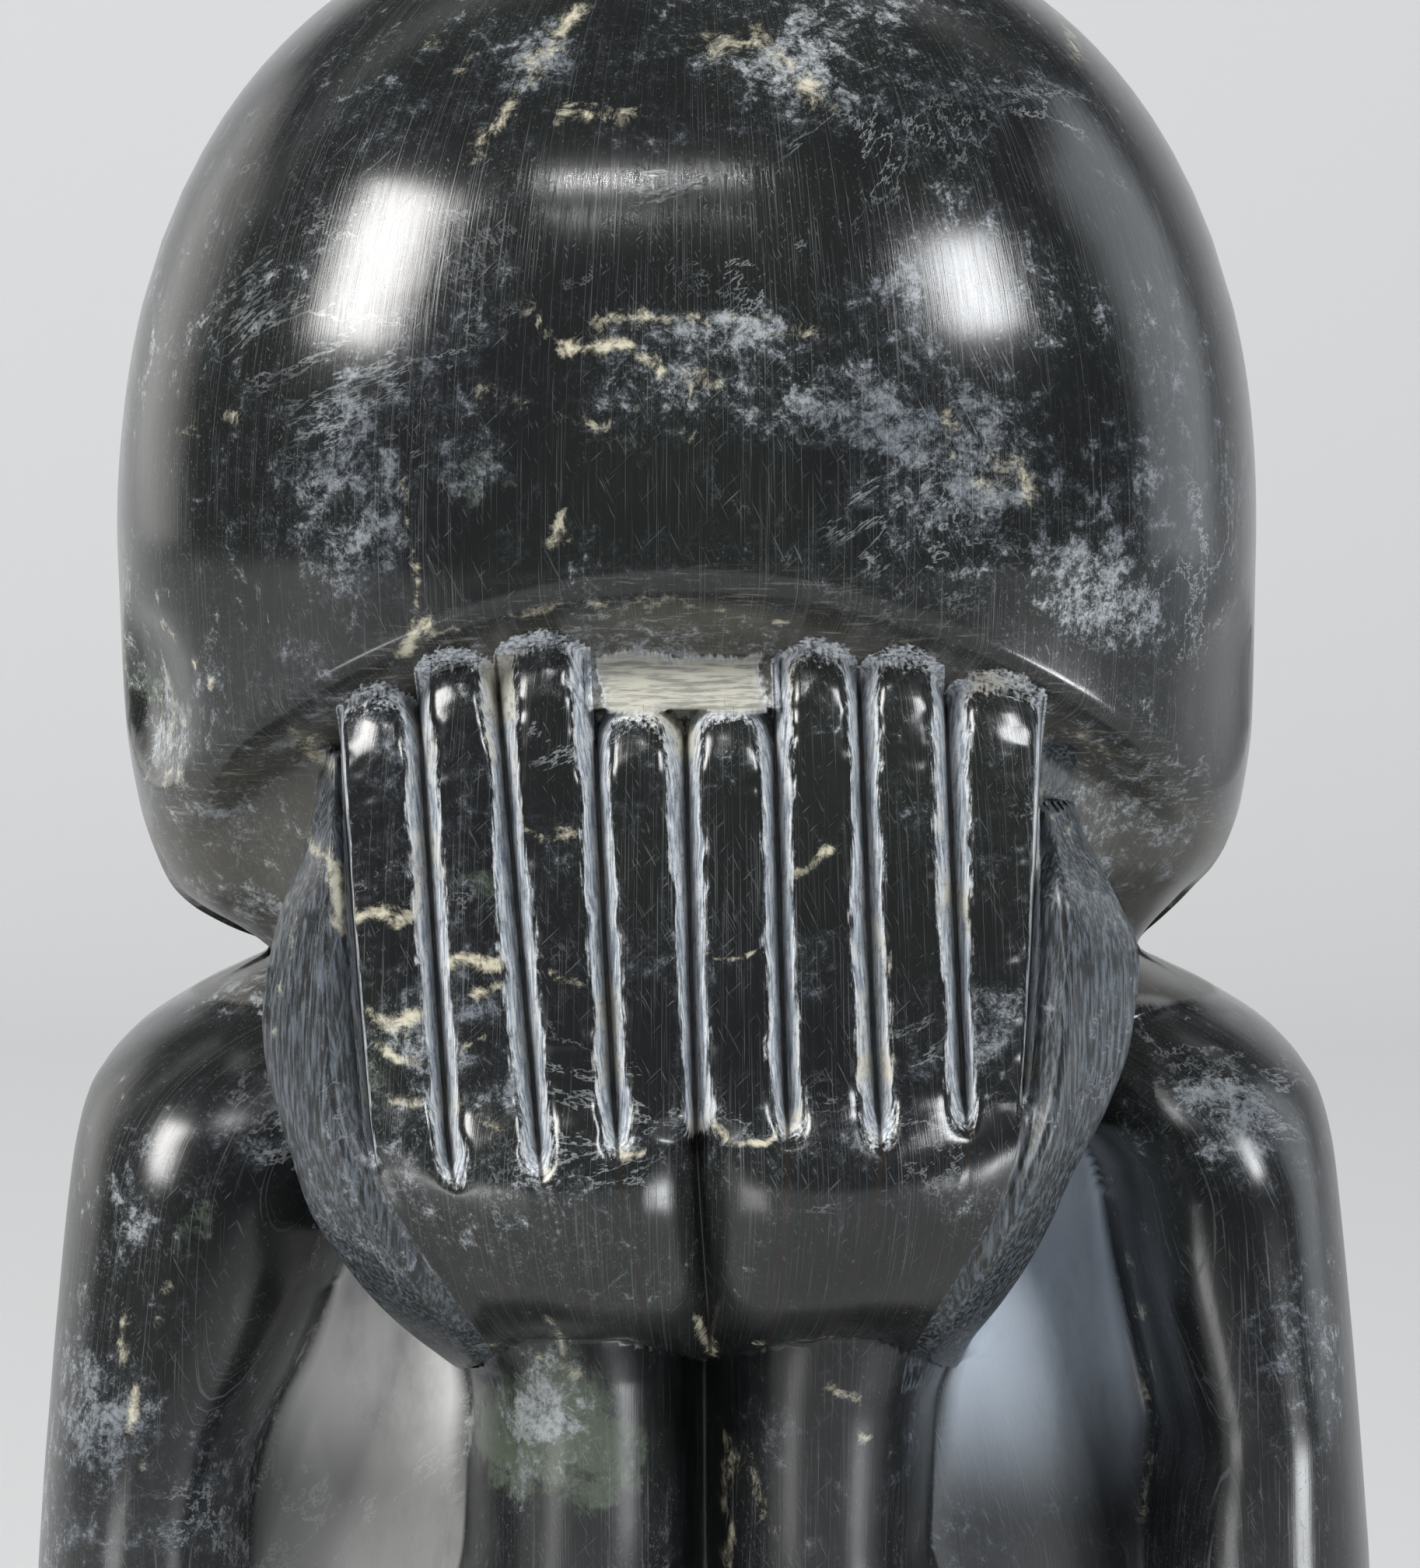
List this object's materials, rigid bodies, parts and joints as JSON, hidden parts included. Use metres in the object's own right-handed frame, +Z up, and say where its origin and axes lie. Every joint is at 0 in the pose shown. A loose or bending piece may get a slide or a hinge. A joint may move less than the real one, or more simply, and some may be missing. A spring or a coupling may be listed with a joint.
{
  "type": "stone figure sculpture",
  "caption": "Carved stone bust of a bowed figure hiding its face in both upright hands, forearms together, arms at its sides, cut flat below the elbows.",
  "frame": {"origin": "centre of the overall box, on the flat underside", "axes": "+Z up from the underside to the crown, -Y the way the hands face, +X to the right seen from the front"},
  "size_m": [0.1282, 0.1104, 0.2136],
  "materials": {
    "serpentine": "polished, with matte tool-cut grooves"
  },
  "bodies": {
    "root": {"stone_figure": "serpentine"}
  },
  "joints": []
}
